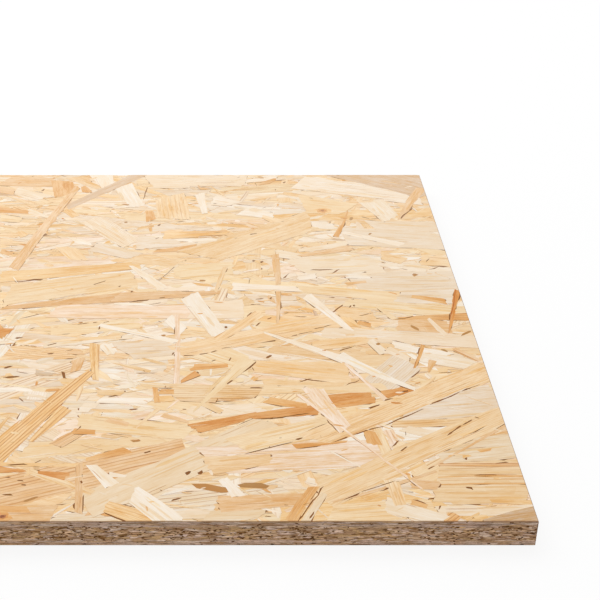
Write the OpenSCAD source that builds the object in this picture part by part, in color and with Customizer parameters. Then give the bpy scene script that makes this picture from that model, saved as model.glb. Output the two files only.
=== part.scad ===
// Square-edged OSB panel, pressed flat and sawn to size.
// The origin is at the middle of the underside: +X runs along the face strands, +Z is up.

/* [Panel] */
// Length of the panel, along the strands of its faces
panel_length = 1000; // [400:10:2500]
// Width of the panel, across the strands of its faces
panel_width = 500; // [200:10:1250]
// Thickness of the pressed mat
panel_thickness = 18; // [9:1:25]

/* [Sawn edges] */
// Arris broken off where a sawn edge meets a face, measured along each of the two
edge_arris = 0.5; // [0.2:0.1:2]
// Arris broken off the four upright corners, measured along each of the two edges
corner_arris = 0.8; // [0.2:0.1:3]

/* [Hidden] */
board_colour = [0.91, 0.78, 0.60];

// A rectangle about the origin with its four corners cut at 45 degrees.
module arrised_rectangle(across, up, arris) {
    half_across = across / 2;
    half_up = up / 2;
    polygon([
        [half_across, half_up - arris],
        [half_across - arris, half_up],
        [arris - half_across, half_up],
        [-half_across, half_up - arris],
        [-half_across, arris - half_up],
        [arris - half_across, -half_up],
        [half_across - arris, -half_up],
        [half_across, arris - half_up],
    ]);
}

// The outline as sawn, seen from above, through the whole thickness.
module sawn_outline() {
    linear_extrude(panel_thickness, center = true)
        arrised_rectangle(panel_length, panel_width, corner_arris);
}

// The section across the width, run along the length: it eases the front and back edges.
module cross_section() {
    rotate([90, 0, 90])
        linear_extrude(panel_length, center = true)
            arrised_rectangle(panel_width, panel_thickness, edge_arris);
}

// The section along the length, run across the width: it eases the two ends.
module long_section() {
    rotate([90, 0, 0])
        linear_extrude(panel_width, center = true)
            arrised_rectangle(panel_length, panel_thickness, edge_arris);
}

// One piece: where the outline and both sections agree, standing on its underside.
module board() {
    color(board_colour)
        translate([0, 0, panel_thickness / 2])
            intersection() {
                sawn_outline();
                cross_section();
                long_section();
            }
}

board();
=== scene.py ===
"""An OSB panel: pressed pine strands on both of its faces, and four sawn edges.

Each face and each edge is a mosaic, cut from the outlines of strands that lie over one another. Lengths are
millimetres in the panel's frame: +X along the panel, +Y to its back edge. A sheet of the mosaic has its own
two directions, and a depth under its own plane.
"""

import math
import random
from collections import defaultdict, namedtuple

import bpy
import numpy as np
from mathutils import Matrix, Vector
from mathutils.geometry import delaunay_2d_cdt


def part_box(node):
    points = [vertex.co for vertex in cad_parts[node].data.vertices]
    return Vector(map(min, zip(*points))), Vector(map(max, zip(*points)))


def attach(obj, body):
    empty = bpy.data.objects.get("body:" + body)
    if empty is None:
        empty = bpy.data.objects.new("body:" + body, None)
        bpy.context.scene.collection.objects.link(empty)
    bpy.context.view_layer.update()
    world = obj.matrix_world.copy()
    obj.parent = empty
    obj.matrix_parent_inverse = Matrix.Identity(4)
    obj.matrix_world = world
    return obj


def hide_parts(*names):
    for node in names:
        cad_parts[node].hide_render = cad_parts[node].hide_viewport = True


MM = 0.001

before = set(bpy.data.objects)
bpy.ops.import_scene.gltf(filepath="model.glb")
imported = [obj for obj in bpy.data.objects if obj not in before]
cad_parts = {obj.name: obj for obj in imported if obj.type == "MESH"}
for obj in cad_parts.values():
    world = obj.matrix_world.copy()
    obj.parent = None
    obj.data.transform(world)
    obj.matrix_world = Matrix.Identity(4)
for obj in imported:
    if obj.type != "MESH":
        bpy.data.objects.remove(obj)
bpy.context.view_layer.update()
HALF_X, HALF_Y, TOP_Z = (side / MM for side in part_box("board")[1])
# What is broken off where a sawn edge meets a face, as the CAD model has it.
ARRIS = 0.5

# -------- colours

# Colours, as sRGB from 0 to 255: the woods, the painted shade of the gaps, and what shows in knots and round
# the rim.
TINTS = {
    "pale": (248, 234, 213),
    "cream": (244, 225, 197),
    "straw": (244, 217, 174),
    "butter": (244, 213, 168),
    "tan": (240, 207, 160),
    "gold": (242, 203, 147),
    "orange": (230, 178, 115),
    "rust": (223, 162, 96),
    "brown": (234, 195, 147),
    "rosy": (246, 220, 191),
    "drab": (238, 219, 193),
    "dun": (238, 214, 178),
    "clay": (222, 193, 161),
    "smoke": (216, 188, 154),
    # The gaps, painted with their shade: dark where a gap is narrow, brown where it is wide enough to let
    # light in.
    "gap": (136, 84, 24),
    "hollow": (184, 134, 74),
    "rim": (162, 130, 104),
    "ruddy": (184, 122, 80),
    "heart": (146, 88, 54),
    # The sawn edges, darkened by the saw.
    "mauve": (197, 169, 151),
    "hazel": (196, 163, 131),
    "honey": (191, 155, 113),
    "ash": (209, 184, 164),
    "umber": (168, 132, 100),
    "bark": (132, 96, 58),
    # Torn-out pits, painted dark with their shade.
    "notch": (104, 68, 30),
}
# The brightest that wood gets, as a linear colour.
BRIGHTEST = (0.97, 0.93, 0.85)

# How often each wood turns up: among the strands laid at random, among the lower ones under the listed ones,
# among the crumbs and the splinters on top, and on the sawn edges near the faces and between them.
WOOD_SHARES = {
    "pale": 16, "cream": 25, "straw": 24, "butter": 15, "tan": 9, "gold": 7, "orange": 1.8,
    "rust": 0.6, "brown": 2, "rosy": 7, "drab": 8, "dun": 3, "clay": 1.5,
}
QUIET_SHARES = {
    "pale": 12, "cream": 26, "straw": 26, "butter": 14, "tan": 10, "gold": 4, "rosy": 7, "drab": 9,
}
CRUMB_SHARES = {"cream": 3, "straw": 3, "tan": 4, "gold": 5, "orange": 5, "brown": 4, "rust": 2.5}
SPLINTER_SHARES = {"pale": 2, "cream": 5, "straw": 5, "butter": 5, "tan": 6, "gold": 4, "rosy": 3}
SKIN_SHARES = {"mauve": 36, "hazel": 22, "honey": 4, "ash": 20, "umber": 14, "bark": 3}
CORE_SHARES = {"mauve": 16, "hazel": 30, "honey": 20, "ash": 12, "umber": 16, "bark": 8}

# How much stronger or weaker than usual a wood's grain is.
GRAIN = {
    "pale": 0.75, "cream": 0.9, "tan": 1.6, "butter": 1.5, "gold": 1.9, "orange": 2.6,
    "rust": 3.6, "brown": 1.9, "clay": 1.6, "smoke": 1.8, "rosy": 1.5,
}

# Figures: how dark a strand's growth rings are, how far apart they are, and how strong its fibres are.
FIGURES = {
    "plain": (0.0, 5.0, 0.8),
    "fine": (0.35, 1.6, 0.9),
    "soft": (0.45, 3.8, 0.8),
    "ringed": (0.9, 2.7, 0.9),
    "bold": (1.5, 3.2, 0.8),
    "lined": (1.9, 2.2, 0.8),
}
FIGURE_SHARES = {"plain": 5, "fine": 4, "soft": 2, "ringed": 1.5}

# What a streak in a strand, or a torn patch of it, does to the strand's own colour.
STREAKS = {
    "dark": (0.95, 0.85, 0.70),
    "golden": (0.99, 0.90, 0.72),
    "light": (1.02, 1.06, 1.14),
    # A split is a real crack, and its dark colour is painted shade in it.
    "split": (0.78, 0.58, 0.40),
}
STREAK_SHARES = {"dark": 9, "golden": 6, "light": 7, "split": 2}
TORN = ((0.98, 0.94, 0.87), (1.02, 1.05, 1.11), (0.96, 0.88, 0.76))


def linear(rgb):
    """An sRGB colour from 0 to 255 as the linear colour that a shader takes."""
    parts = [channel / 255 for channel in rgb]
    return [p / 12.92 if p <= 0.04045 else ((p + 0.055) / 1.055) ** 2.4 for p in parts]


def capped(colour):
    return tuple(min(channel, limit) for channel, limit in zip(colour, BRIGHTEST))


def shaded(rgb, rng, spread):
    """A wood colour a little lighter or darker, and a little warmer or cooler, than its name."""
    light = 1 + rng.uniform(-spread, spread) * 0.5
    warm = rng.uniform(-spread, spread)
    red, green, blue = linear(rgb)
    return capped((red * light, green * light * (1 - warm * 0.5), blue * light * (1 - warm)))


def pick(shares, rng):
    return rng.choices(list(shares), weights=list(shares.values()))[0]


# -------- outlines

# A strand's long sides have a corner at each step, and its ends a tooth for so much of their width.
STEP_LENGTH = 15
MOST_STEPS = 7
TOOTH_WIDTH = 3
MOST_TEETH = 5


def rectangle(half_u, half_v):
    return [(-half_u, -half_v), (half_u, -half_v), (half_u, half_v), (-half_u, half_v)]


def directions(start, end):
    """Two points as arrays, how far apart they are, and the directions along and across."""
    start, end = np.array(start, float), np.array(end, float)
    length = max(np.linalg.norm(end - start), 1e-3)
    along = (end - start) / length
    return start, end, length, along, np.array((-along[1], along[0]))


def next_corners(outline):
    return np.concatenate((outline[1:], outline[:1]))


def ragged_outline(start, end, widths, rng, rag):
    """A strand's outline: wavy, slightly bowed long sides, and slanted ends broken into splinters."""
    start, end, length, along, across = directions(start, end)
    mean = (widths[0] + widths[1]) / 2
    steps = max(1, min(MOST_STEPS, int(length / STEP_LENGTH)))
    bow = rng.gauss(0, 0.012) * length * rag
    slants = [rng.uniform(-0.45, 0.45) * mean * rag for _ in range(2)]
    points = []
    for side in (-1, 1):
        # Part of this side may have split off, from a step to one of the ends.
        split = rng.uniform(0.15, 0.85)
        lost = rng.uniform(0.1, 0.35) * (rng.random() < 0.35 * rag)
        places = [step / steps for step in range(steps + 1)]
        if lost:
            places = sorted(places + [split - 0.012, split + 0.012])
        toward_end = rng.random() < 0.5
        for place in places:
            share = place if side < 0 else 1 - place
            half = (widths[0] + (widths[1] - widths[0]) * share) / 2 + rng.gauss(0, 0.03) * mean * rag
            if lost and (share > split) == toward_end:
                half -= lost * mean / 2
            slip = side * (slants[0] * (1 - share) + slants[1] * share)
            sideways = side * half + bow * 4 * share * (1 - share)
            points.append(start + along * (length * share + slip) + across * sideways)
        # The end that this side leads to.
        last = 1 if side < 0 else 0
        tip, width, slant = (start, end)[last], widths[last], slants[last]
        teeth = min(MOST_TEETH, int(width / TOOTH_WIDTH))
        for tooth in range(teeth):
            place = -side * ((tooth + rng.uniform(0.5, 1.5)) / (teeth + 1) - 0.5)
            jut = rng.uniform(0.0, 0.24) if tooth % 2 else rng.uniform(-0.14, 0.08)
            reach = -side * jut * min(width, 10) * rag + slant * 2 * place
            points.append(tip + across * place * width + along * reach)
    return np.array(points)


def chip_outline(centre, angle, length, width, rng, corners=(5, 8)):
    """A small broken piece, with a few uneven corners."""
    count = rng.randint(*corners)
    points = []
    for corner in range(count):
        turn = 2 * math.pi * (corner + rng.uniform(-0.35, 0.35)) / count
        reach = rng.uniform(0.62, 1.05)
        u, v = length / 2 * reach * math.cos(turn), width / 2 * reach * math.sin(turn)
        points.append((centre[0] + u * math.cos(angle) - v * math.sin(angle),
                       centre[1] + u * math.sin(angle) + v * math.cos(angle)))
    return np.array(points)


def lens_outline(start, end, width, rng):
    """A narrow outline that tapers to nothing at both ends."""
    start, end, length, along, across = directions(start, end)
    points = [start]
    for place in (rng.uniform(0.1, 0.3), rng.uniform(0.65, 0.9)):
        points.append(start + along * length * place - across * width * rng.uniform(0.25, 0.6))
    points.append(end)
    for place in (rng.uniform(0.7, 0.9), rng.uniform(0.1, 0.35)):
        points.append(start + along * length * place + across * width * rng.uniform(0.25, 0.6))
    return np.array(points)


def crack_outline(start, end, width, rng):
    """A crooked narrow outline that swells and pinches, and tapers to nothing at both ends."""
    start, end, length, along, across = directions(start, end)
    count = max(2, min(5, int(length / 5)))
    sides = ([], [])
    for step in range(count):
        place = (step + 0.5 + rng.uniform(-0.3, 0.3)) / count
        middle = rng.gauss(0, 0.22) * width
        for side, points in zip((-1, 1), sides):
            off = middle + side * width * rng.uniform(0.12, 0.65)
            points.append(start + along * length * place + across * off)
    return np.array([start] + sides[0] + [end] + sides[1][::-1])


# -------- strands

# outline: its corners, counter-clockwise. tint: linear colour. depth: how far its middle lies under the
# sheet's plane, and slope: how that grows along the sheet's two directions. origin, angle, seed: where its
# grain's own frame stands. figure: how strong its rings are, how far apart, and how strong its fibres are.
Strand = namedtuple("Strand", "outline tint depth slope origin angle seed figure")

# A gap wider than this lets light in, so that it is brown and not dark.
WIDE_GAP = 2.4


def new_strand(outline, wood, depth, angle, figure, rng, spread=0.08):
    tint = shaded(TINTS[wood], rng, spread)
    size = max(np.ptp(outline, axis=0).max(), 4)
    steep = 0.5 * depth / size
    slope = (rng.uniform(-steep, steep), rng.uniform(-steep, steep))
    rings, pitch, fibres = FIGURES[figure]
    fibres *= GRAIN.get(wood, 1.0) * rng.uniform(0.75, 1.2)
    figure = (rings * rng.uniform(0.75, 1.2), pitch * rng.uniform(0.85, 1.25), fibres)
    return Strand(outline, tint, depth, slope, outline.mean(0), angle, rng.uniform(0, 900), figure)


def base_strand(half_u, half_v, wood, figure, rng):
    """A flat strand under all the others, as large as the sheet."""
    sheet = np.array(rectangle(half_u, half_v), float)
    return new_strand(sheet, wood, 0.3, 0.0, figure, rng)._replace(slope=(0, 0))


def in_strand(strand, outline, factor, step):
    """Part of a strand in another colour: it keeps the strand's grain and plane, and lies a step lower."""
    tint = capped([channel * part for channel, part in zip(strand.tint, factor)])
    off = outline.mean(0) - strand.outline.mean(0)
    depth = strand.depth + off[0] * strand.slope[0] + off[1] * strand.slope[1] + step
    return strand._replace(outline=outline, tint=tint, depth=depth)


def streaks_in(strand, start, end, widths, rng, each):
    """Lighter and darker streaks and splits along a strand, one for each so many square millimetres."""
    start, end, length, along, across = directions(start, end)
    found = []
    for _ in range(int(length * sum(widths) / 2 / each * rng.uniform(0.6, 1.5))):
        run = min(rng.uniform(6, 45), length * 0.7)
        begin = rng.uniform(0.02, 0.98 - run / length)
        off = rng.uniform(-0.46, 0.46) * (widths[0] + (widths[1] - widths[0]) * begin)
        tilt = rng.gauss(0, 0.015) * run
        name = pick(STREAK_SHARES, rng)
        width = rng.uniform(0.25, 0.55) if name == "split" else rng.choice((0.5, 0.8, 1.2, 1.8, 2.6))
        origin = start + along * begin * length + across * off
        outline = lens_outline(origin, origin + along * run + across * tilt, width, rng)
        step = rng.uniform(0.03, 0.1) if name == "split" else rng.uniform(0.002, 0.016)
        found.append(in_strand(strand, outline, STREAKS[name], step))
    return found


def torn_patch(strand, start, end, widths, rng):
    """A place where a strand's surface is torn, so that the wood under it shows."""
    start, end, length, along, across = directions(start, end)
    narrow = min(widths)
    place = start + along * length * rng.uniform(0.15, 0.85) + across * rng.uniform(-0.4, 0.4) * narrow
    size = (min(rng.uniform(8, 36), length * 0.5), rng.uniform(0.2, 0.6) * narrow)
    outline = chip_outline(place, strand.angle + rng.gauss(0, 0.06), size[0], size[1], rng)
    return in_strand(strand, outline, rng.choice(TORN), rng.uniform(0.01, 0.05))


def gaps_beside(outline, rng, chance):
    """Gaps along the long sides of a strand, where it doesn't quite meet what it covers, painted dark with
    their shade.
    """
    found = []
    for a, b in zip(outline, next_corners(outline)):
        length = np.linalg.norm(b - a)
        # Painted shadow: gaps are likelier on a strand's front side, where the light from behind casts its
        # shade.
        likely = chance * (1.4 if b[0] > a[0] else 0.7)
        if length < 2.5 or rng.random() > likely:
            continue
        run = rng.uniform(0.4, 1.0) * length
        begin = rng.uniform(0, length - run) / length
        width = rng.choice((0.6, 0.9, 1.2, 1.7))
        found.append(gap(a + (b - a) * begin, a + (b - a) * (begin + run / length), width, rng))
    return found


def gap(start, end, width, rng):
    """A place where the strands don't meet, painted with its shade: dark where it is narrow, and brown where
    it is wide.
    """
    wide = width > WIDE_GAP
    along = directions(start, end)[3]
    outline = (lens_outline if wide else crack_outline)(start, end, width, rng)
    angle = math.atan2(along[1], along[0])
    return new_strand(outline, "hollow" if wide else "gap", rng.uniform(0.1, 0.25), angle, "plain", rng, 0.15)


def whole_strand(start, end, widths, wood, figure, depth, rng, rag, spread, gaps, each):
    """A strand with the gaps under its sides and the streaks on it, lowest first.

    rag: how broken it is. spread: how far its colour strays. gaps: how likely one is at each side. each: the
    square millimetres for each streak.
    """
    outline = ragged_outline(start, end, widths, rng, rag)
    angle = math.atan2(end[1] - start[1], end[0] - start[0])
    strand = new_strand(outline, wood, depth, angle, figure, rng, spread)
    laid = gaps_beside(outline, rng, gaps) + [strand]
    if rng.random() < 0.4 and min(widths) > 6:
        laid.append(torn_patch(strand, start, end, widths, rng))
    return laid + streaks_in(strand, start, end, widths, rng, each)


def knot(x, y, radius, woods, rng):
    """A dark heart with a halo, as lumpy rounds."""
    found = []
    for size, wood, depth in zip((2.2, 1.4, 0.9, 0.5), woods, (0.02, 0.025, 0.03, 0.04)):
        outline = chip_outline((x, y), 0.1, radius * size * 2.4, radius * size * 2, rng, (10, 13))
        found.append(new_strand(outline, wood, depth, 0.0, "plain", rng))
    return found


# The strands that stand out on the top face, lowest first: where each starts and ends, its width at either
# end, its wood and, unless it is plain, its figure.
TOP_STRANDS = [
    # back left
    (114, 236, 162, 232, 24, 20, "brown"), (110, 216, 130, 208, 13, 11, "brown"),
    (128, 214, 156, 196, 15, 20, "cream"), (118, 171, 146, 166, 12, 7, "orange"),
    (124, 154, 143, 150, 14, 10, "straw"), (175, 244, 204, 219, 11, 7, "tan", "fine"),
    (167, 235, 173, 202, 22, 19, "orange"), (188, 223, 193, 209, 5, 9, "orange"),
    (201, 252, 213, 214, 22, 9, "pale"), (247, 235, 336, 233, 30, 28, "cream"),
    (225, 224, 240, 178, 20, 15, "pale"), (269, 200, 275, 152, 26, 29, "butter", "soft"),
    (252, 168, 255, 149, 6, 9, "orange"), (295, 206, 301, 163, 9, 5, "pale"),
    (308, 191, 327, 184, 20, 16, "pale"), (203, 151, 242, 104, 23, 22, "cream", "fine"),
    (246, 106, 283, 104, 28, 16, "drab"), (188, 97, 202, 74, 15, 13, "butter"),
    (211, 98, 245, 80, 18, 18, "drab"), (179, 171, 189, 157, 8, 8, "gold"),
    (145, 127, 151, 118, 6, 9, "gold"), (136, 90, 145, 84, 7, 7, "orange"),
    (240, 253, 179, 176, 12, 9, "clay"), (268, 119, 321, 123, 15, 9, "gold"),
    (287, 123, 321, 128, 2, 3, "orange"), (262, 90, 295, 97, 4, 11, "orange"),
    # back right
    (423, 27, 503, 30, 50, 54, "drab"), (419, 118, 503, 108, 34, 34, "drab"),
    (443, 140, 503, 136, 18, 20, "drab"), (377, 60, 441, 68, 34, 36, "cream"),
    (447, 82, 464, 72, 14, 12, "tan"), (478, 74, 503, 70, 18, 18, "butter"),
    (298, 82, 392, 149, 33, 34, "tan"), (387, 184, 427, 172, 36, 28, "straw"),
    (334, 169, 361, 160, 20, 15, "pale"), (351, 157, 365, 146, 5, 11, "butter"),
    (449, 190, 462, 152, 24, 18, "cream"), (385, 231, 492, 198, 33, 32, "pale"),
    (425, 266, 516, 210, 46, 46, "clay"), (380, 90, 420, 103, 6, 9, "cream"),
    (380, 81, 423, 96, 4, 10, "brown"), (417, 126, 466, 102, 6, 9, "pale"),
    (372, 25, 451, 12, 12, 18, "straw", "fine"), (414, 33, 430, 37, 4, 4, "brown"),
    (391, 46, 377, 43, 9, 9, "pale"), (415, 46, 433, 45, 7, 6, "pale"), (462, 13, 487, 5, 5, 8, "orange"),
    (411, 4, 503, -13, 12, 20, "straw", "fine"), (498, 219, 470, 151, 10, 5, "brown"),
    (426, 169, 412, 117, 1.5, 5, "orange"),
    # middle left
    (154, 14, 249, 42, 30, 32, "straw", "fine"), (280, 52, 326, 60, 26, 22, "straw"),
    (144, 44, 251, 65, 18, 14, "gold"), (183, 222, 152, 58, 6, 10, "brown"),
    (246, 74, 283, 67, 15, 9, "tan"), (193, -9, 300, -12, 20, 22, "rosy"),
    (195, -38, 260, -30, 13, 10, "straw"), (249, -66, 285, -62, 24, 20, "drab"),
    (154, -5, 251, 13, 5, 15, "brown", "fine"), (237, 12, 316, 19, 14, 6, "brown", "fine"),
    (245, 64, 272, 24, 4, 11, "pale"), (282, 66, 268, 38, 3, 1.5, "cream"),
    (320, 62, 313, 20, 4, 2.5, "tan"), (296, -60, 338, -86, 26, 22, "straw"),
    (152, -41, 166, -41, 12, 11, "rust"), (279, -20, 291, -39, 10, 9, "pale"),
    (213, -67, 221, -68, 7, 8, "brown"), (220, -77, 219, -93, 9, 7, "brown"),
    (193, -95, 205, -95, 7, 6, "smoke"), (193, -60, 255, -47, 6, 5, "cream"),
    (197, -54, 247, -47, 4, 5, "butter"), (236, -57, 243, -70, 10, 9, "pale"),
    (299, -88, 323, -85, 8, 6, "orange"), (303, -95, 292, -106, 7, 3, "rust"),
    (334, -7, 298, -6, 28, 30, "cream"), (293, 14, 318, -48, 17, 12, "pale"),
    (286, -67, 405, -22, 20, 22, "butter", "fine"), (346, -13, 316, -51, 10, 8, "butter", "ringed"),
    (285, -15, 289, -116, 3.5, 4, "rosy", "fine"), (229, -30, 287, -54, 5, 6, "pale"),
    (229, -57, 235, -104, 7.5, 5, "gold", "ringed"),
    # middle right
    (447, -30, 484, -34, 24, 22, "brown"), (446, -21, 503, -18, 3, 12, "orange", "bold"),
    (391, -41, 503, -54, 16, 18, "cream", "fine"), (383, -60, 423, -51, 13, 11, "butter"),
    (404, -12, 431, -16, 20, 18, "butter", "fine"), (423, -113, 447, -80, 24, 24, "drab", "fine"),
    (424, -53, 433, -70, 6, 8, "cream"), (440, -57, 476, -73, 9, 12, "pale"),
    (435, -64, 449, -78, 9, 5, "cream"), (456, -74, 503, -90, 13, 14, "cream"),
    (482, -64, 501, -84, 5, 4, "brown", "ringed"), (340, -85, 406, -97, 18, 27, "butter"),
    (328, -117, 429, -114, 15, 12, "straw", "fine"), (348, -107, 401, -110, 7, 5, "tan"),
    (408, -20, 416, -33, 11, 8, "gold"), (418, -26, 427, -31, 6, 5, "orange"),
    (433, -2, 446, -22, 4, 6, "straw"), (461, -58, 451, -89, 3.5, 1.5, "orange", "bold"),
    (465, -79, 460, -94, 6, 2, "brown"), (470, -21, 479, -45, 3, 5, "cream"),
    (383, 14, 411, -38, 11, 5, "pale"), (360, 84, 361, 32, 6, 5, "brown"),
    (361, 23, 359, -28, 4, 2, "brown"), (326, 29, 377, 25, 13, 8, "pale"),
    (499, 23, 482, -42, 5, 1.5, "rust", "bold"),
    # front left
    (229, -153, 300, -164, 18, 17, "straw"), (191, -225, 298, -184, 30, 26, "brown", "ringed"),
    (292, -245, 317, -244, 8, 7, "cream"), (312, -246, 344, -244, 9, 8, "dun"),
    (243, -237, 355, -156, 24, 28, "dun"), (201, -201, 246, -225, 5, 6, "tan", "fine"),
    (186, -203, 203, -203, 8, 3, "rust", "fine"), (211, -205, 229, -209, 2.5, 8, "rust", "fine"),
    (190, -244, 226, -243, 15, 14, "brown"), (190, -239, 211, -240, 6, 5, "orange"),
    (202, -174, 219, -137, 3, 10, "gold", "ringed"), (173, -205, 230, -93, 22, 6, "gold", "lined"),
    (185, -197, 238, -198, 4, 3, "gold"), (235, -197, 240, -243, 4.8, 4.4, "brown", "fine"),
    (242, -198, 257, -218, 5, 9, "pale"), (254, -207, 264, -209, 5, 2, "pale"),
    (255, -237, 289, -253, 10, 15, "gold", "ringed"), (270, -225, 296, -254, 15, 14, "pale"),
    (238, -192, 263, -183, 4, 8, "orange"), (218, -178, 232, -163, 9, 8, "brown", "ringed"),
    (227, -163, 241, -164, 6, 4.5, "orange", "fine"), (239, -128, 273, -129, 6, 7, "pale"),
    (228, -137, 237, -137, 11, 10, "pale"), (237, -119, 254, -120, 5, 7, "tan"),
    (286, -119, 344, -119, 22, 18, "tan", "ringed"), (275, -113, 278, -131, 3, 4, "orange"),
    (278, -118, 288, -118, 6, 5, "orange"), (279, -127, 288, -126, 7, 6, "gold"),
    (247, -150, 261, -156, 5, 4, "brown"), (282, -145, 299, -153, 5, 3, "brown"),
    (279, -138, 266, -159, 3.5, 1.5, "tan"), (308, -132, 320, -142, 6, 5, "tan"),
    (337, -78, 301, -141, 12, 2, "straw"),
    # front right
    (436, -213, 462, -193, 18, 14, "straw", "fine"), (314, -194, 428, -186, 28, 26, "rosy", "fine"),
    (312, -198, 350, -192, 18, 10, "tan", "fine"), (330, -178, 401, -152, 20, 22, "straw", "fine"),
    (448, -215, 503, -214, 42, 42, "tan", "soft"), (451, -197, 503, -197, 3.5, 4, "brown", "lined"),
    (449, -210, 503, -209, 1, 1.4, "orange", "fine"), (450, -213, 503, -212, 0.8, 1.2, "brown", "fine"),
    (449, -217, 503, -216, 1.3, 1.4, "orange", "fine"), (476, -232, 503, -234, 3, 5, "gold", "fine"),
    (452, -184, 503, -176, 26, 28, "dun", "fine"), (383, -244, 443, -238, 18, 16, "straw", "fine"),
    (445, -241, 503, -239, 8, 11, "cream"), (468, -251, 504, -243, 5, 14, "smoke", "fine"),
    (447, -251, 454, -244, 8, 8, "orange", "lined"), (459, -249, 468, -243, 2.5, 2, "gold", "fine"),
    (464, -247, 472, -246, 4, 3, "gold"), (416, -236, 445, -250, 14, 12, "cream"),
    (430, -233, 439, -237, 5, 3, "orange"), (482, -168, 503, -160, 6, 9, "brown"),
    (439, -136, 503, -126, 34, 34, "drab", "fine"), (429, -155, 484, -151, 8, 8, "tan", "ringed"),
    (417, -158, 423, -194, 8, 7, "straw", "fine"), (425, -162, 430, -184, 7, 5, "rosy", "ringed"),
    (435, -160, 453, -167, 7, 9, "cream"), (412, -162, 415, -177, 8, 9, "orange"),
    (429, -176, 441, -202, 10, 12, "butter"), (433, -216, 448, -218, 9, 8, "brown", "fine"),
    (380, -229, 503, -147, 20, 23, "butter", "fine"), (385, -233, 449, -204, 2, 2.5, "brown"),
    (446, -201, 503, -154, 1.5, 2.5, "brown"), (470, -168, 488, -156, 3, 1, "gold"),
    (478, -184, 486, -182, 3, 2, "orange"), (467, -190, 472, -188, 3, 2, "gold"),
    (403, -230, 423, -221, 5, 4, "gold", "fine"), (421, -213, 424, -236, 9, 7, "butter", "fine"),
    (320, -235, 373, -231, 15, 12, "brown"), (303, -160, 342, -145, 12, 6, "rust", "fine"),
    (338, -147, 383, -139, 6, 12, "rust", "fine"), (388, -131, 419, -125, 15, 13, "rust", "fine"),
    (425, -122, 447, -113, 12, 7, "rust", "fine"), (349, -128, 375, -135, 8, 6, "orange"),
    (365, -179, 398, -174, 5, 2, "orange", "fine"), (378, -172, 506, -87, 21, 22, "butter", "fine"),
    (349, -41, 404, -79, 2, 10, "pale"), (401, -72, 448, -115, 11, 4, "pale"),
    (404, -83, 427, -128, 2, 4, "rosy"), (380, -114, 398, -161, 13, 10, "rosy"),
    (375, -219, 360, -251, 6, 7, "orange", "fine"), (381, -225, 368, -251, 4, 5, "dun"),
    (370, -121, 438, -221, 3, 1.5, "rosy"), (387, -184, 404, -200, 1.5, 1, "cream"),
    (322, -211, 331, -228, 7, 8, "pale"), (371, -212, 376, -214, 5, 4.5, "pale"),
]

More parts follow.
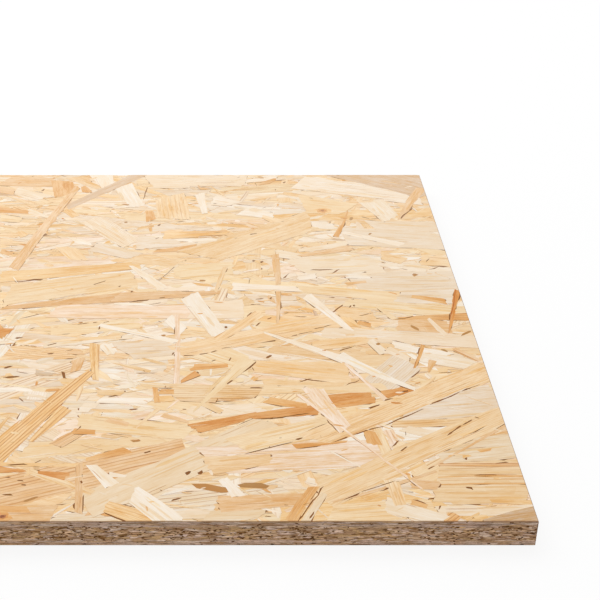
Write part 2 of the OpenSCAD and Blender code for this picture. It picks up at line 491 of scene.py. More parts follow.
# The gaps that stand out on the top face: where each starts and ends, and how wide it is.
TOP_GAPS = [
    (402, -167, 423, -157, 0.9), (423, -157, 451, -138, 0.9), (455, -134, 478, -118, 1.1),
    (478, -118, 493, -109, 1.2), (334, -187, 365, -174, 0.7), (366, -172, 371, -170, 1.4),
    (389, -175, 399, -169, 1.0), (414, -138, 423, -133, 1.6), (426, -129, 433, -126, 1.0),
    (439, -119, 443, -116, 1.6), (350, -150, 377, -143, 0.9), (390, -232, 402, -224, 1.3),
    (402, -224, 424, -213, 0.7), (444, -202, 449, -199, 1.5), (461, -168, 472, -157, 1.1),
    (472, -157, 480, -150, 0.9), (425, -180, 431, -172, 1.1), (430, -184, 435, -179, 1.0),
    (435, -168, 436, -163, 1.0), (413, -223, 419, -220, 1.0), (464, -219, 468, -222, 1.8),
    (440, -231, 444, -229, 1.6), (445, -240, 447, -236, 1.0), (330, -217, 349, -218, 4.0),
    (303, -216, 325, -224, 5.0), (264, -173, 270, -173, 2.2), (307, -207, 309, -203, 2.0),
    (300, -208, 302, -204, 2.0), (385, -36, 399, -30, 1.0), (368, -47, 373, -44, 1.2),
    (373, -44, 385, -39, 0.7), (292, -73, 301, -72, 1.1), (303, -71, 310, -69, 0.9),
    (311, -68, 316, -66, 1.0), (318, -64, 328, -60, 1.0), (350, -76, 354, -72, 1.9),
    (401, -67, 412, -60, 1.0), (428, -58, 431, -56, 2.4), (445, -22, 460, -18, 1.1),
    (456, -30, 461, -39, 3.0), (490, -46, 499, -38, 2.4), (473, -64, 477, -68, 2.5),
    (402, -111, 413, -103, 1.3), (371, -107, 381, -101, 1.0), (338, -114, 348, -114, 1.6),
    (400, -12, 409, 0, 1.0), (419, -17, 431, -12, 1.0), (413, -5, 415, -1, 1.0), (417, -3, 418, 0, 1.5),
    (343, -32, 347, -26, 1.0), (352, -22, 355, -19, 1.3), (371, -18, 381, -18, 0.8),
    (284, -72, 286, -68, 1.2), (324, -80, 325, -75, 0.9), (323, -109, 327, -104, 1.0),
    (321, -35, 322, -32, 2.0), (276, -46, 278, -44, 2.6), (213, -28, 217, -26, 2.2),
    (229, -37, 230, -32, 1.2), (195, -59, 202, -56, 1.4), (197, -70, 202, -69, 1.4),
    (210, -93, 215, -102, 2.0), (170, -89, 176, -86, 1.6), (171, -101, 183, -99, 2.0),
    (170, -60, 173, -54, 1.4), (171, -49, 177, -48, 1.8), (387, 56, 406, 57, 1.6), (404, 50, 411, 58, 1.0),
    (365, 42, 371, 52, 1.2), (342, 71, 344, 73, 2.0), (348, 69, 351, 71, 2.0), (428, 52, 432, 53, 1.6),
    (445, 69, 449, 69, 1.8), (467, 48, 472, 48, 4.0), (481, 70, 485, 77, 0.8), (481, 64, 498, 62, 1.6),
    (354, 7, 355, 12, 1.3), (343, 8, 350, 10, 1.0), (416, 8, 418, 9, 1.3), (156, 37, 178, 41, 1.9),
    (218, 31, 227, 39, 1.4), (238, 28, 240, 30, 1.2), (248, 19, 250, 22, 1.6), (270, 10, 275, 11, 1.0),
    (300, 38, 305, 39, 3.0), (268, 38, 280, 62, 0.6), (226, 183, 234, 181, 2.4), (233, 144, 234, 147, 2.2),
    (262, 138, 264, 142, 1.6), (427, 149, 429, 156, 2.5), (440, 120, 442, 124, 2.4),
    (372, 230, 373, 234, 1.8), (437, 157, 444, 153, 1.4), (340, 121, 346, 124, 1.4),
    (247, 221, 245, 192, 0.9), (152, 212, 153, 217, 2.0), (167, 118, 168, 123, 1.6),
    (471, 152, 484, 176, 1.6), (207, -233, 215, -228, 2.3), (191, -198, 204, -198, 1.2),
    (245, -124, 252, -123, 1.2), (260, -139, 266, -138, 0.9), (228, -163, 231, -157, 1.2),
    (273, -186, 277, -184, 1.4), (292, -232, 298, -229, 1.2), (277, -114, 287, -114, 0.8),
    (192, -210, 196, -210, 0.9), (200, -213, 204, -214, 1.2), (203, -217, 206, -218, 1.0),
    (193, -226, 200, -227, 1.2), (238, -207, 238, -210, 1.1), (238, -213, 238, -216, 1.4),
    (241, -226, 242, -243, 0.8), (381, -218, 365, -249, 0.9), (374, -241, 371, -248, 1.4),
]

# Knots on the top face: where each is, how big its dark part is, and its woods from the halo to the heart.
TOP_KNOTS = [
    (404, 169, 3.6, ("gold", "orange", "rust", "ruddy")),
    (197, -246, 2.6, ("orange", "rust", "ruddy", "heart")),
]

# Left of this line, from the front edge to the back, the strands are all laid at random. A strand with its
# middle this far to the left of it still counts as one among the listed ones.
LISTED_FROM = (190, 105)
LISTED_MARGIN = 30
# How much wider than listed a gap is drawn.
GAP_SWELL = 1.2
# Painted sheen: towards the back, where the light glances off it, the listed face is painted nearer to cream:
# by this share, growing over so far from its middle.
PALER_BY = 0.15
PALER_OVER = 100
# Behind this line the listed face has the fewest crumbs.
CLEAN_FROM = 60

# The lower strands of a face lie in columns and rows, so that they cover it, each a little off its place.
COLUMNS, COLUMN_STEP, COLUMN_SLIP = 23, 45, 25
ROWS, ROW_STEP, ROW_SLIP = 59, 8.5, 5
LOWER = {"lengths": (60, 150), "widths": (7, 22), "depths": (0.12, 0.26), "gaps": 0.16, "each": 300}
UPPER = {"lengths": (55, 158), "widths": (5, 26), "depths": (0.02, 0.09), "gaps": 0.3, "each": 150}
# How many of each a face has. The first two and the crumbs are fewer on a face that is less busy.
CHIPS, SPLINTERS, GAPS = 2300, 900, 220
UPPER_STRANDS = 420
CRUMBS, TOP_SPLINTERS, SHORT_GAPS = 900, 480, 90


def lay_angle(rng, spread=17):
    """Most strands lie along the panel, give or take, and some lie anyhow."""
    if rng.random() < 0.2:
        return rng.uniform(-math.pi / 2, math.pi / 2)
    return math.radians(rng.gauss(0, spread))


def anywhere(rng):
    return rng.uniform(-HALF_X, HALF_X), rng.uniform(-HALF_Y, HALF_Y)


def ends_of(centre, angle, length):
    half = np.array((math.cos(angle), math.sin(angle))) * length / 2
    return np.array(centre) - half, np.array(centre) + half


def random_strand(rng, centre, lengths, widths, depths, gaps, each, shares=WOOD_SHARES):
    """A strand of any wood with its middle at a given place."""
    start, end = ends_of(centre, lay_angle(rng), rng.uniform(*lengths))
    width = rng.uniform(*widths)
    narrow = width * (rng.uniform(0.2, 0.9) if rng.random() < 0.4 else rng.uniform(0.85, 1.0))
    widths = (width, narrow) if rng.random() < 0.5 else (narrow, width)
    wood = pick(shares, rng)
    figure = pick(FIGURE_SHARES, rng)
    return whole_strand(start, end, widths, wood, figure, rng.uniform(*depths), rng,
                        rag=1.0, spread=0.07, gaps=gaps, each=each)


def random_chip(rng, lengths, widths, depths, shares=WOOD_SHARES):
    angle = lay_angle(rng, 25)
    outline = chip_outline(anywhere(rng), angle, rng.uniform(*lengths), rng.uniform(*widths), rng)
    return new_strand(outline, pick(shares, rng), rng.uniform(*depths), angle, pick(FIGURE_SHARES, rng), rng)


def random_splinter(rng, lengths, widths, depths, shares=WOOD_SHARES):
    angle = math.radians(rng.gauss(0, 22))
    start, end = ends_of(anywhere(rng), angle, rng.uniform(*lengths))
    outline = lens_outline(start, end, rng.uniform(*widths), rng)
    return new_strand(outline, pick(shares, rng), rng.uniform(*depths), angle, "plain", rng)


def random_gap(rng, lengths, widths):
    start, end = ends_of(anywhere(rng), lay_angle(rng, 22), rng.uniform(*lengths))
    return gap(start, end, rng.uniform(*widths), rng)


def is_listed(x, y):
    """Whether a place on the top face is where the listed strands lie, or near it."""
    line = LISTED_FROM[0] + (LISTED_FROM[1] - LISTED_FROM[0]) * (y + HALF_Y) / (2 * HALF_Y)
    return x > line - LISTED_MARGIN


def lower_strands(rng, listed):
    spots = [(-HALF_X + COLUMN_STEP * (column + 0.5), -HALF_Y + ROW_STEP * (row + 0.5))
             for column in range(COLUMNS) for row in range(ROWS)]
    rng.shuffle(spots)
    laid = []
    for x, y in spots:
        centre = (x + rng.uniform(-COLUMN_SLIP, COLUMN_SLIP), y + rng.uniform(-ROW_SLIP, ROW_SLIP))
        shares = QUIET_SHARES if listed and is_listed(*centre) else WOOD_SHARES
        laid += random_strand(rng, centre, **LOWER, shares=shares)
    return laid


def upper_strands(rng, listed):
    laid = []
    for _ in range(UPPER_STRANDS):
        centre = anywhere(rng)
        strand = random_strand(rng, centre, **UPPER)
        if not (listed and is_listed(*centre)):
            laid += strand
    return laid


def listed_strands(rng):
    """The strands, gaps and knots that are listed for the top face."""
    laid = []
    for x1, y1, x2, y2, w1, w2, wood, *figure in TOP_STRANDS:
        depth = rng.uniform(*UPPER["depths"])
        laid += whole_strand((x1, y1), (x2, y2), (w1, w2), wood, figure[0] if figure else "plain", depth, rng,
                             rag=0.8, spread=0.03, gaps=0.2, each=130)
    for x1, y1, x2, y2, width in TOP_GAPS:
        laid.append(gap((x1, y1), (x2, y2), width * GAP_SWELL, rng))
    for x, y, radius, woods in TOP_KNOTS:
        laid += knot(x, y, radius, woods, rng)
    return laid


def left_out(strand, rng):
    """Whether a crumb or splinter is left out: among the listed strands the face is cleaner."""
    x, y = strand.outline.mean(0)
    return is_listed(x, y) and rng.random() < (0.7 if y > CLEAN_FROM else 0.45)


# Painted sheen: a strand is painted nearer to cream the further back it lies.
def paler_to_back(strand):
    share = PALER_BY * min(max(strand.outline[:, 1].mean() / PALER_OVER, 0), 1)
    tint = tuple(own + (cream - own) * share for own, cream in zip(strand.tint, linear(TINTS["cream"])))
    return strand._replace(tint=tint)


def face_strands(seed, listed, busy):
    """Every strand, chip, splinter and gap of a face, lowest first. busy: how much small stuff it has."""
    rng = random.Random(seed)
    laid = [base_strand(HALF_X, HALF_Y, "tan", "fine", rng)]
    laid += lower_strands(rng, listed)
    laid += [random_chip(rng, (6, 36), (1.5, 8), (0.08, 0.24)) for _ in range(int(CHIPS * busy))]
    laid += [random_splinter(rng, (8, 45), (0.5, 2.2), (0.06, 0.2)) for _ in range(int(SPLINTERS * busy))]
    laid += [random_gap(rng, (2, 9), (0.4, 1.2)) for _ in range(GAPS)]
    laid += upper_strands(rng, listed)
    if listed:
        laid += listed_strands(rng)
    # Crumbs and splinters on top of it all.
    small = [random_chip(rng, (2, 10), (0.7, 2.6), (0.02, 0.1), CRUMB_SHARES)
             for _ in range(int(CRUMBS * busy))]
    small += [random_splinter(rng, (5, 22), (0.4, 1.4), (0.005, 0.04), SPLINTER_SHARES)
              for _ in range(TOP_SPLINTERS)]
    laid += [piece for piece in small if not (listed and left_out(piece, rng))]
    if listed:
        laid = [paler_to_back(strand) for strand in laid]
    return laid + [random_gap(rng, (1.5, 5), (0.4, 1.0)) for _ in range(SHORT_GAPS)]


# Within this share of the thickness from its middle, the strands lie across the panel.
CORE = 0.27


def edge_strands(seed, half_length, lengthwise, density):
    """The cut strands of one sawn edge, in its own plane: along it, and up and down from its middle.

    lengthwise: whether the faces' strands lie along this edge. density: how many strands there are for each
    millimetre of its half length.
    """
    rng = random.Random(seed)
    half_height = TOP_Z / 2
    laid = []
    # The torn-out spots gather in clusters.
    clusters = [rng.uniform(-half_length, half_length) for _ in range(int(half_length / 9))]
    for _ in range(int(half_length * density)):
        centre = np.array((rng.uniform(-half_length, half_length), rng.uniform(-half_height, half_height)))
        in_core = abs(centre[1]) < TOP_Z * CORE
        long_cut = in_core != lengthwise
        length = rng.uniform(6, 30) if long_cut else rng.uniform(3, 11)
        lean = rng.gauss(0, 0.03 if long_cut else 0.07) * (1.4 if in_core else 0.6)
        start, end = ends_of(centre, lean, length)
        outline = lens_outline(start, end, rng.uniform(0.6, 1.7), rng)
        wood = pick(CORE_SHARES if in_core else SKIN_SHARES, rng)
        strand = new_strand(outline, wood, rng.uniform(0.02, 0.3), lean, "plain", rng)
        # Painted light and shade: the cut is painted a little lighter below its middle and darker towards its
        # top, as the light falls on it.
        light = 1.05 - 0.3 * max(centre[1] / half_height, 0)
        laid.append(strand._replace(tint=tuple(channel * light for channel in strand.tint)))
        clustered = min(abs(centre[0] - cluster) for cluster in clusters) < 6
        expected = (1.5 if clustered else 0.5) if in_core else 0.45
        # Torn-out pits beside the strand, their dark colour painted shade.
        for _ in range(int(expected + rng.random())):
            spot = centre + (rng.uniform(-3, 3), rng.uniform(-0.8, 0.8))
            start, end = ends_of(spot, rng.gauss(0, 0.2), rng.uniform(0.9, 3.2))
            outline = lens_outline(start, end, rng.uniform(0.5, 1.1), rng)
            laid.append(new_strand(outline, "notch", rng.uniform(0.2, 0.5), 0.0, "plain", rng, 0.25))
    return [base_strand(half_length, half_height, "umber", "plain", rng)] + laid


# -------- mosaics

# Where a sheet lies: its middle in metres, its two directions and the one that it faces, its half sizes, and
# how far its rim slopes outwards and down.
Sheet = namedtuple("Sheet", "middle along up out half_u half_v rim")
# How a sheet is divided: strips are separate pieces, and tiles lie side by side on a piece's map.
Tiling = namedtuple("Tiling", "strips tiles")
# How far a border's point may lie off a straight line and be left out, and how near two points are one.
SLACK = 0.012
MERGED = 0.002


def clipped(outline, half_u, half_v):
    """The part of an outline that lies on a sheet centred on the origin, or None."""
    for axis, limit in ((0, half_u), (1, half_v)):
        for sign in (1, -1):
            inside = sign * outline[:, axis] <= limit
            if inside.all():
                continue
            if not inside.any():
                return None
            kept = []
            for i in range(len(outline)):
                a, b = outline[i - 1], outline[i]
                if inside[i - 1] != inside[i]:
                    share = (sign * limit - a[axis]) / (b[axis] - a[axis])
                    crossing = a + share * (b - a)
                    crossing[axis] = sign * limit
                    kept.append(crossing)
                if inside[i]:
                    kept.append(b)
            outline = np.array(kept)
    return outline


def cells_of(values, half, count):
    """Which of so many equal parts of a sheet's length each value falls in."""
    return np.clip(((values + half) / (2 * half) * count).astype(int), 0, count - 1)


def enclosed(points, outline):
    """Which points an outline goes round."""
    x, y = points.T
    ax, ay = outline.T[:, :, None]
    bx, by = next_corners(outline).T[:, :, None]
    with np.errstate(divide="ignore", invalid="ignore"):
        crossing = (bx - ax) * (y - ay) / (by - ay) + ax
    return (((ay > y) != (by > y)) & (x < crossing)).sum(0) % 2 == 1


def owners_at(points, strands, half_v):
    """The number of the strand that lies on top at each point: the last that covers it."""
    rows, batch = 24, 500
    row_of = cells_of(points[:, 1], half_v, rows)
    # The points without an owner, by row and then along each row, so that a strand is tried on few of them.
    free = np.lexsort((points[:, 0], row_of))
    owner = np.full(len(points), -1)
    for number in range(len(strands) - 1, -1, -1):
        if number == len(strands) - 1 or number % batch == 0:
            free = free[owner[free] < 0]
            starts = np.searchsorted(row_of[free], np.arange(rows + 1))
            along = points[free, 0]
        outline = strands[number].outline
        low, high = outline.min(0), outline.max(0)
        near = []
        for row in range(*(cells_of(np.array((low[1], high[1])), half_v, rows) + (0, 1))):
            line = along[starts[row]:starts[row + 1]]
            first, last = np.searchsorted(line, (low[0], high[0])) + starts[row]
            near.append(free[first:last])
        near = np.concatenate(near)
        if len(near):
            hit = near[enclosed(points[near], outline)]
            owner[hit[owner[hit] < 0]] = number
    return owner


def showing(strands, half_u, half_v):
    """The strands that show, by a grid of points and by each strand's own corners."""
    step = min(max(half_v / 35, 0.25), 1.0)
    us, vs = np.arange(-half_u + step / 2, half_u, step), np.arange(-half_v + step / 2, half_v, step)
    grid = np.stack(np.meshgrid(us, vs), -1).reshape(-1, 2)
    owner = owners_at(grid, strands, half_v).reshape(len(vs), len(us))
    owning = set(owner.ravel().tolist())
    kept = []
    for number, strand in enumerate(strands):
        spots = strand.outline * 0.8 + strand.outline.mean(0) * 0.2
        across, up = ((spots + (half_u, half_v)) / step).astype(int).T
        on_sheet = (across >= 0) & (across < len(us)) & (up >= 0) & (up < len(vs))
        if number in owning or (owner[up[on_sheet], across[on_sheet]] <= number).any():
            kept.append(strand)
    return kept


def triangulated(points, edges):
    """A plane in triangles that keep to the edges: the places of their corners, and each one's three."""
    places, _, faces = delaunay_2d_cdt([Vector(p) for p in points], edges, [], 0, MERGED, False)[:3]
    places = np.array([tuple(p) for p in places])
    triangles = np.array([face for face in faces if len(face) == 3])
    a, b, c = (places[triangles[:, i]] for i in range(3))
    turn = (b[:, 0] - a[:, 0]) * (c[:, 1] - a[:, 1]) - (b[:, 1] - a[:, 1]) * (c[:, 0] - a[:, 0])
    triangles[turn < 0] = triangles[turn < 0][:, ::-1]
    return places, triangles[np.abs(turn) > 1e-9]


def shared_edges(triangles, count):
    """For each edge: its two points in its first triangle's order, that triangle, and the other one or -1."""
    heads = triangles.ravel()
    tails = triangles[:, (1, 2, 0)].ravel()
    faces = np.repeat(np.arange(len(triangles)), 3)
    keys = np.minimum(heads, tails) * count + np.maximum(heads, tails)
    order = np.argsort(keys, kind="stable")
    keys, heads, tails, faces = keys[order], heads[order], tails[order], faces[order]
    starts = np.flatnonzero(np.r_[True, keys[1:] != keys[:-1]])
    ends = np.r_[starts[1:], len(keys)]
    other = np.where(ends - starts > 1, faces[np.minimum(starts + 1, len(keys) - 1)], -1)
    return heads[starts], tails[starts], faces[starts], other


def straightened(points, edges):
    """The same border lines without the points along their straight stretches."""
    around = defaultdict(set)
    for a, b in edges:
        around[a].add(b)
        around[b].add(a)
    for p in sorted(around):
        if len(around[p]) != 2:
            continue
        a, b = around[p]
        if b in around[a]:
            continue
        span = points[b] - points[a]
        off = points[p] - points[a]
        if abs(span[0] * off[1] - span[1] * off[0]) > SLACK * math.hypot(*span):
            continue
        around[a].remove(p)
        around[b].remove(p)
        around[a].add(b)
        around[b].add(a)
        del around[p]
    return [(a, b) for a in around for b in around[a] if a < b]


def even_cuts(half, count):
    return [-half + 2 * half * i / count for i in range(1, count)]


def cut_mosaic(strands, sheet, tiling):
    """The sheet in triangles, each inside one strand and one tile, and the number of the strand it is of."""
    half_u, half_v = sheet.half_u, sheet.half_v
    points, edges = [], []

    def add_loop(corners):
        base = len(points)
        points.extend(corners)
        edges.extend((base + i, base + (i + 1) % len(corners)) for i in range(len(corners)))

    def add_line(a, b):
        points.extend((a, b))
        edges.append((len(points) - 2, len(points) - 1))

    add_loop(rectangle(half_u, half_v))
    for u in even_cuts(half_u, tiling.tiles):
        add_line((u, -half_v), (u, half_v))
    for v in even_cuts(half_v, tiling.strips):
        add_line((-half_u, v), (half_u, v))
    fixed = (list(points), list(edges))
    for strand in strands:
        part = clipped(strand.outline, half_u, half_v)
        if part is not None and len(part) > 2:
            add_loop([tuple(p) for p in part])
    places, triangles = triangulated(points, edges)
    owner = owners_at(places[triangles].mean(1), strands, half_v)
    # Only the borders between different owners are kept, and the sheet is cut once more along them.
    heads, tails, first, second = shared_edges(triangles, len(places))
    border = (second >= 0) & (owner[first] != owner[second])
    kept = straightened(places, list(zip(heads[border].tolist(), tails[border].tolist())))
    used = sorted({p for edge in kept for p in edge})
    renumber = {p: len(fixed[0]) + i for i, p in enumerate(used)}
    points = fixed[0] + [tuple(places[p]) for p in used]
    edges = fixed[1] + [(renumber[a], renumber[b]) for a, b in kept]
    places, triangles = triangulated(points, edges)
    return places, triangles, owners_at(places[triangles].mean(1), strands, half_v)


# -------- meshes

MAP_MARGIN = 2.0
# On the map, a wall takes a band this wide beside its edge.
WALL_BAND = 0.18
# A step lower than this between two strands is left without a wall: it can't be seen.
LOW_STEP = 0.02
# No strand stands out of its sheet: it lies at least this far under the plane.
LEAST_DEPTH = 0.003


def added(name, data):
    """A new object in the scene."""
    thing = bpy.data.objects.new(name, data)
    bpy.context.scene.collection.objects.link(thing)
    return thing


def strand_table(strands):
    """What the meshes need to know of each strand, as arrays. The rim comes last, as if it were a strand."""
    rim = Strand(np.zeros((1, 2)), linear(TINTS["rim"]), 0, (0, 0), (0, 0), 0, 0, (0, 5, 0.5))
    rows = strands + [rim]
    table = {field: np.array([getattr(s, field) for s in rows])
             for field in ("origin", "depth", "slope", "seed", "figure")}
    table["middle"] = np.array([s.outline.mean(0) for s in rows])
    table["turn"] = np.array([(math.cos(s.angle), math.sin(s.angle)) for s in rows])
    table["tint"] = np.array([(*s.tint, 1) for s in rows])
    return table


def depths_of(table, places, who, point):
    """How deep points of the plane lie, as their strands have them."""
    rise = ((places[point] - table["middle"][who]) * table["slope"][who]).sum(1)
    return np.maximum(table["depth"][who] + rise, LEAST_DEPTH)


def walls_along(mosaic, edges, table, chosen):
    """The walls at the chosen triangles: two points, the strands on this side and beyond, the triangle."""
    places, _, owner = mosaic
    heads, tails, first, second = edges
    outer = second < 0
    near, beyond = owner[first], np.where(outer, len(table["depth"]) - 1, owner[second])
    steps = [np.abs(depths_of(table, places, near, end) - depths_of(table, places, beyond, end))
             for end in (heads, tails)]
    joint = (near != beyond) & (np.maximum(*steps) > LOW_STEP)
    lined = chosen[first] & (outer | joint)
    return heads[lined], tails[lined], near[lined], beyond[lined], first[lined]


def laid_out(sheet, table, places, who, point):
    """Points as their strands have them, in the sheet's plane and in space."""
    flat = places[point].copy()
    depth = depths_of(table, places, who, point)
    on_rim = who == len(table["depth"]) - 1
    on_border = np.abs(np.abs(flat) - (sheet.half_u, sheet.half_v)) < 1e-3
    outward = np.where(on_border, np.sign(flat), 0)
    flat[on_rim] += outward[on_rim] * sheet.rim
    depth[on_rim] = sheet.rim
    off = np.outer(flat[:, 0], sheet.along) + np.outer(flat[:, 1], sheet.up) - np.outer(depth, sheet.out)
    return flat, np.array(sheet.middle) + off * MM


def new_mesh(name, spots, corners, sizes):
    """A mesh of faces with so many corners each."""
    mesh = bpy.data.meshes.new(name)
    mesh.vertices.add(len(spots))
    mesh.vertices.foreach_set("co", spots.astype(np.float32).ravel())
    mesh.loops.add(len(corners))
    mesh.loops.foreach_set("vertex_index", corners.astype(np.int32))
    mesh.polygons.add(len(sizes))
    mesh.polygons.foreach_set("loop_start", np.r_[0, np.cumsum(sizes)[:-1]].astype(np.int32))
    mesh.polygons.foreach_set("loop_total", sizes.astype(np.int32))
    mesh.update(calc_edges=True)
    mesh.shade_flat()
    return mesh


def store(mesh, name, kind, domain, values):
    layer = mesh.attributes.new(name, kind, domain)
    part = {"FLOAT_COLOR": "color", "FLOAT_VECTOR": "vector", "FLOAT": "value"}[kind]
    layer.data.foreach_set(part, np.asarray(values, np.float32).ravel())


def store_grain(mesh, table, who, flat):
    """Each strand's colour and figure, and its grain's own frame, so that fibres and rings run along it."""
    offset = flat - table["origin"][who]
    turn = table["turn"][who]
    along = offset[:, 0] * turn[:, 0] + offset[:, 1] * turn[:, 1]
    across = offset[:, 1] * turn[:, 0] - offset[:, 0] * turn[:, 1]
    store(mesh, "tint", "FLOAT_COLOR", "POINT", table["tint"][who])
    store(mesh, "grain", "FLOAT_VECTOR", "POINT", np.stack([along, across, table["seed"][who]], 1))
    store(mesh, "figure", "FLOAT_VECTOR", "POINT", table["figure"][who])


def store_map(mesh, sheet, tiling, strip, tile, spread):
    """The map: the strip's tiles stacked in one square, at one scale."""
    tile_u, tile_v = 2 * sheet.half_u / tiling.tiles, 2 * sheet.half_v / tiling.strips
    side = max(tile_u + 2 * MAP_MARGIN, tiling.tiles * (tile_v + 2 * MAP_MARGIN))
    across = spread[:, 0] + sheet.half_u - tile * tile_u + MAP_MARGIN
    up = spread[:, 1] + sheet.half_v - strip * tile_v + MAP_MARGIN + tile * (tile_v + 2 * MAP_MARGIN)
    layer = mesh.uv_layers.new(name="OFBake", do_init=False)
    layer.uv.foreach_set("vector", (np.stack([across, up], 1) / side).astype(np.float32).ravel())


def build_strip(name, sheet, tiling, mosaic, edges, table, strip, material):
    """One strip of a sheet as a mesh: each strand's top at its own depth, and walls between them."""
    places, triangles, owner = mosaic
    count = len(places)
    centres = places[triangles].mean(1)
    chosen = cells_of(centres[:, 1], sheet.half_v, tiling.strips) == strip
    tile_of = cells_of(centres[:, 0], sheet.half_u, tiling.tiles)

    # A mesh vertex is a point of the plane as one strand has it, at that strand's depth.
    tops = owner[chosen][:, None] * count + triangles[chosen]
    u, v, near, beyond, wall_triangle = walls_along(mosaic, edges, table, chosen)
    walls = np.stack([near * count + v, near * count + u, beyond * count + u, beyond * count + v], 1)
    keys, corners = np.unique(np.concatenate([walls.ravel(), tops.ravel()]), return_inverse=True)
    who, point = keys // count, keys % count
    flat, spots = laid_out(sheet, table, places, who, point)
    mesh = new_mesh(name, spots, corners, np.r_[np.full(len(walls), 4), np.full(len(tops), 3)])
    store_grain(mesh, table, who, flat)
    store(mesh, "wall", "FLOAT", "FACE", np.r_[np.ones(len(walls)), np.zeros(len(tops))])

    tile = np.r_[np.repeat(tile_of[wall_triangle], 4), np.repeat(tile_of[chosen], 3)]
    run = places[v] - places[u]
    length = np.maximum(np.linalg.norm(run, axis=1, keepdims=True), 1e-9)
    beside = np.stack([run[:, 1], -run[:, 0]], 1) / length
    spread = flat[corners]
    band = np.tile([0, 0, WALL_BAND, WALL_BAND], len(walls))
    spread[:len(band)] += np.repeat(beside, 4, axis=0) * band[:, None]
    store_map(mesh, sheet, tiling, strip, tile, spread)

    mesh.materials.append(material)
    mesh.validate()
    piece = added(name, mesh)
    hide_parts("board")
    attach(piece, "root")


def build_sheet(names, sheet, tiling, strands, material):
    strands = showing(strands, sheet.half_u, sheet.half_v)
    mosaic = cut_mosaic(strands, sheet, tiling)
    edges = shared_edges(mosaic[1], len(mosaic[0]))
    table = strand_table(strands)
    for strip, name in enumerate(names):
        build_strip(name, sheet, tiling, mosaic, edges, table, strip, material)


# -------- materials

class Nodes:
    """Short calls for building a material's nodes, or the world's."""

    def __init__(self, name, owner=None):
        self.material = owner or bpy.data.materials.new(name)
        self.material.use_nodes = True
        self.tree = self.material.node_tree
        self.shader = self.tree.nodes.get("Principled BSDF")

    def plug(self, value, socket):
        if isinstance(value, bpy.types.NodeSocket):
            self.tree.links.new(value, socket)
        else:
            socket.default_value = value

    def add(self, kind, *values, **settings):
        """A new node with its settings, and with values or other nodes' outputs in its first inputs."""
        node = self.tree.nodes.new("ShaderNode" + kind)
        for name, value in settings.items():
            setattr(node, name, value)
        for value, socket in zip(values, node.inputs):
            self.plug(value, socket)
        return node

    def attribute(self, name, output="Vector"):
        return self.add("Attribute", attribute_name=name).outputs[output]

    def maths(self, operation, a, b=0.0):
        return self.add("Math", a, b, operation=operation).outputs[0]

    def times(self, a, b):
        return self.maths("MULTIPLY", a, b)

    def sum_of(self, *weighted):
        """The sum of values, each given with its weight."""
        total = self.times(*weighted[0])
        for value, weight in weighted[1:]:
            total = self.maths("ADD", total, self.times(value, weight))
        return total

    def parts(self, vector):
        return self.add("SeparateXYZ", vector).outputs

    def streaks(self, grain, along_scale, across_scale, detail, rough):
        """Noise stretched along the grain: how fast it changes along it and across it, per millimetre."""
        along, across, seed = grain
        node = self.add("TexNoise")
        spot = self.add("CombineXYZ", self.times(along, along_scale), self.times(across, across_scale), seed)
        self.plug(spot.outputs[0], node.inputs["Vector"])
        for name, value in (("Scale", 1.0), ("Detail", detail), ("Roughness", rough)):
            node.inputs[name].default_value = value
        return node.outputs["Fac"]

    def ramp(self, value, low, high, to_low=0.0, to_high=1.0):
        return self.add("MapRange", value, low, high, to_low, to_high, clamp=True).outputs[0]

    def mixed(self, factor, a, b, blend="MIX"):
        node = self.add("Mix", factor, data_type="RGBA", blend_type=blend)
        self.plug(a, node.inputs[6])
        self.plug(b, node.inputs[7])
        return node.outputs[2]

    def stained(self, colour, factor, stain):
        """A colour multiplied by a stain, as far as the factor says."""
        return self.mixed(factor, colour, stain, "MULTIPLY")

    def seen_directly(self):
        """1 for what the eye sees, also in a mirror or through glass, and 0 for what only gives light."""
        path = self.add("LightPath")
        names = ("Is Camera Ray", "Is Glossy Ray", "Is Transmission Ray")
        return self.maths("MINIMUM", self.sum_of(*((path.outputs[name], 1.0) for name in names)), 1.0)

    def surface(self, colour, roughness, specular):
        self.plug(colour, self.shader.inputs["Base Color"])
        self.plug(roughness, self.shader.inputs["Roughness"])
        self.shader.inputs["Specular IOR Level"].default_value = specular

    def bump(self, height, distance, strength):
        node = self.add("Bump")
        self.plug(height, node.inputs["Height"])
        node.inputs["Distance"].default_value = distance
        node.inputs["Strength"].default_value = strength
        self.plug(node.outputs[0], self.shader.inputs["Normal"])


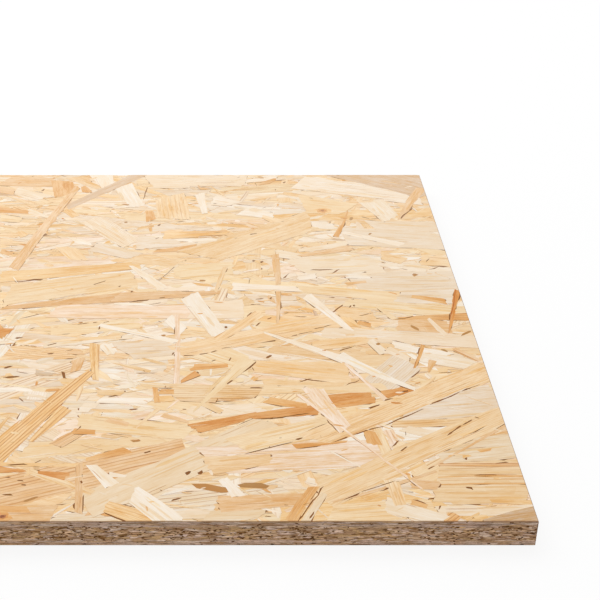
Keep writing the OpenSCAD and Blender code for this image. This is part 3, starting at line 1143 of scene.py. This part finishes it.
def strand_material():
    """Planed pine strands: growth rings, fibres and pores that follow each strand's own direction."""
    n = Nodes("osb_strands")
    grain = n.parts(n.attribute("grain"))
    rings, pitch, strength = n.parts(n.attribute("figure"))
    wall = n.attribute("wall", "Fac")
    mottle = n.streaks(grain, 0.045, 0.2, 6, 0.72)
    band = n.streaks(grain, 0.012, 0.4, 3, 0.55)
    fibre = n.streaks(grain, 0.08, 1.2, 5, 0.7)
    fine = n.streaks(grain, 0.22, 3.2, 3, 0.65)
    cloud = n.streaks(grain, 0.03, 0.06, 2, 0.5)

    # Early wood is light and late wood is golden: a strand changes between them in clouds, bands and fibres.
    late = n.sum_of((n.ramp(mottle, 0.38, 0.66), 0.30), (n.ramp(band, 0.34, 0.68), 0.18),
                    (n.ramp(fibre, 0.38, 0.64), 0.34), (n.ramp(fine, 0.36, 0.66), 0.28),
                    (n.ramp(cloud, 0.32, 0.68), 0.22))
    late = n.maths("ADD", n.times(n.maths("SUBTRACT", late, 0.6), strength), 0.46)
    shade = n.mixed(late, (1.05, 1.14, 1.32, 1), (0.90, 0.74, 0.50, 1))
    colour = n.stained(n.attribute("tint", "Color"), 1.0, shade)

    # Growth rings: wavering lines that darken slowly and stop sharply, some of them stronger than others.
    drift = n.streaks(grain, 0.012, 0.05, 2, 0.5)
    wobble = n.streaks(grain, 0.025, 0.35, 2, 0.5)
    wander = n.sum_of((drift, 6.0), (wobble, 1.0))
    ring = n.maths("DIVIDE", n.maths("ADD", grain[1], wander), pitch)
    saw = n.maths("FRACT", ring)
    begin = n.maths("SUBTRACT", 1.0, n.maths("MINIMUM", n.maths("DIVIDE", 1.0, pitch), 0.4))
    line = n.times(n.ramp(saw, begin, 0.92), n.ramp(saw, 1.0, 0.94))
    whim = n.add("TexWhiteNoise", noise_dimensions="1D")
    n.plug(n.maths("ADD", n.maths("FLOOR", ring), grain[2]), whim.inputs["W"])
    line = n.times(line, n.ramp(whim.outputs["Value"], 0.0, 1.0, 0.3, 1.4))
    line = n.times(n.times(line, rings), n.ramp(band, 0.30, 0.56, 0.5, 1.0))
    colour = n.stained(colour, line, (0.68, 0.46, 0.30, 1))

    # Resin ducts and torn fibres are short dark flecks, and the walls at a strand's sides are darkened with
    # painted shade.
    fleck = n.times(n.ramp(fine, 0.66, 0.76), 0.4)
    colour = n.stained(colour, fleck, (0.74, 0.52, 0.36, 1))
    colour = n.stained(colour, n.times(wall, 0.6), (0.70, 0.51, 0.32, 1))
    n.surface(colour, n.ramp(fibre, 0.3, 0.7, 0.66, 0.52), 0.2)
    n.bump(n.sum_of((fibre, 1.0), (fine, 0.5), (line, -0.3)), 0.00012, 0.6)
    return n.material


def sawn_material():
    """Sawn strands: rough fibres pulled by the blade, with torn pits painted dark as their shade."""
    n = Nodes("osb_sawn")
    grain = n.parts(n.attribute("grain"))
    wall = n.attribute("wall", "Fac")
    coarse = n.streaks(grain, 0.08, 0.5, 3, 0.6)
    fibre = n.streaks(grain, 0.28, 1.3, 4, 0.65)
    grit = n.streaks(grain, 1.0, 2.2, 3, 0.7)
    light = n.sum_of((n.ramp(coarse, 0.36, 0.64), 0.25), (n.ramp(fibre, 0.40, 0.60), 0.45),
                     (n.ramp(grit, 0.40, 0.60), 0.30))
    shade = n.mixed(light, (0.56, 0.51, 0.43, 1), (1.56, 1.57, 1.60, 1))
    colour = n.stained(n.attribute("tint", "Color"), 1.0, shade)
    colour = n.stained(colour, n.times(n.ramp(fibre, 0.38, 0.30), 0.8), (0.48, 0.36, 0.24, 1))
    # Painted shade: dark specks where the grit tears pits.
    colour = n.stained(colour, n.times(n.ramp(grit, 0.62, 0.72), 0.7), (0.5, 0.38, 0.24, 1))
    # Painted shade: the walls at the strands' sides are darkened.
    colour = n.stained(colour, n.times(wall, 0.55), (0.6, 0.48, 0.36, 1))
    n.surface(colour, n.ramp(grit, 0.3, 0.7, 0.75, 0.9), 0.15)
    n.bump(n.sum_of((fibre, 1.0), (grit, 0.6)), 0.0003, 0.8)
    return n.material


# -------- the board

FACE_TILING = Tiling(strips=5, tiles=3)

strands_look = strand_material()
sawn_look = sawn_material()


def build_face(name, height, side, seed, listed, busy):
    """The top face, with its side 1, or the under face, with -1."""
    half_u, half_v = HALF_X - ARRIS, HALF_Y - ARRIS
    sheet = Sheet((0, 0, height * MM), (1, 0, 0), (0, side, 0), (0, 0, side), half_u, half_v, ARRIS)
    names = [f"{name}_{strip + 1}" for strip in range(FACE_TILING.strips)]
    build_sheet(names, sheet, FACE_TILING, face_strands(seed, listed, busy), strands_look)


def build_edge(name, x, y, seed, density):
    """The sawn edge that faces along (x, y)."""
    half_length = HALF_X if y else HALF_Y
    middle = (x * HALF_X * MM, y * HALF_Y * MM, TOP_Z / 2 * MM)
    sheet = Sheet(middle, (-y, x, 0), (0, 0, 1), (x, y, 0), half_length, TOP_Z / 2 - ARRIS, 0.0)
    strands = edge_strands(seed, half_length, y != 0, density)
    build_sheet([name], sheet, Tiling(1, 7 if y else 5), strands, sawn_look)


build_face("top_face", TOP_Z, 1, seed=11, listed=True, busy=1.0)
build_edge("front_edge", 0, -1, seed=31, density=10.5)
build_edge("right_end", 1, 0, seed=41, density=7.8)
build_face("under_face", 0, -1, seed=23, listed=False, busy=0.7)
build_edge("back_edge", 0, 1, seed=37, density=6.4)
build_edge("left_end", -1, 0, seed=43, density=7.8)

# -------- floor, light and camera

# How far the floor reaches to each side, and how far under the board it lies, in metres.
FLOOR_REACH = 30.0
FLOOR_DROP = 0.0004
# How white the floor is seen, near the board and far from it, and from which distance to which it changes.
NEAR_WHITE, FAR_WHITE = 0.87, 1.0
WHITENS_FROM, WHITENS_TO = 0.55, 1.5
# How strong the sky is: as it lights the scene, and as the eye sees it.
SKY_LIGHT, SKY_SEEN = 0.64, 1.0

floor_mesh = bpy.data.meshes.new("floor")
floor_mesh.from_pydata([(x, y, 0) for x, y in rectangle(FLOOR_REACH, FLOOR_REACH)], [], [(0, 1, 2, 3)])
floor = added("floor", floor_mesh)
floor.location.z = -FLOOR_DROP
white = Nodes("floor_white")
white.surface((0.97, 0.97, 0.97, 1), 1.0, 0.0)
# The eye sees mostly plain white with some of the board's shadow on it, and nothing but white far away.
position = white.add("NewGeometry").outputs["Position"]
from_board = white.add("VectorMath", position, operation="LENGTH").outputs["Value"]
whiteness = white.ramp(from_board, WHITENS_FROM, WHITENS_TO, NEAR_WHITE, FAR_WHITE)
glow = white.add("Emission").outputs[0]
blend = white.add("MixShader", white.times(white.seen_directly(), whiteness), white.shader.outputs[0], glow)
white.plug(blend.outputs[0], white.tree.nodes["Material Output"].inputs["Surface"])
floor_mesh.materials.append(white.material)

world = bpy.data.worlds.new("studio")
bpy.context.scene.world = world
sky = Nodes("sky", world)
backgrounds = [sky.add("Background", (1, 1, 1, 1), strength).outputs[0] for strength in (SKY_LIGHT, SKY_SEEN)]
choose = sky.add("MixShader", sky.seen_directly(), *backgrounds)
sky.plug(choose.outputs[0], sky.tree.nodes["World Output"].inputs["Surface"])

softbox_data = bpy.data.lights.new("softbox", "AREA")
softbox_data.shape = "RECTANGLE"
softbox_data.size = 2.4
softbox_data.size_y = 1.8
softbox_data.energy = 33.5
softbox = added("softbox", softbox_data)
softbox.location = (-0.5, 1.2, 1.9)
lit_spot = Vector((0.15, 0, 0))
softbox.rotation_euler = (lit_spot - softbox.location).to_track_quat("-Z", "Y").to_euler()

# The camera stands in front of the right half of the panel and looks straight down its width.
CAMERA_TILT = 28.96
camera_data = bpy.data.cameras.new("camera")
camera_data.sensor_width = 36
camera_data.lens = 69.85
camera_data.shift_x = 0.1
camera = added("camera", camera_data)
camera.location = (0.3317, -0.7631, 0.4442)
camera.rotation_euler = (math.radians(90 - CAMERA_TILT), 0, 0)
bpy.context.scene.camera = camera
bpy.context.scene.view_settings.view_transform = "Standard"
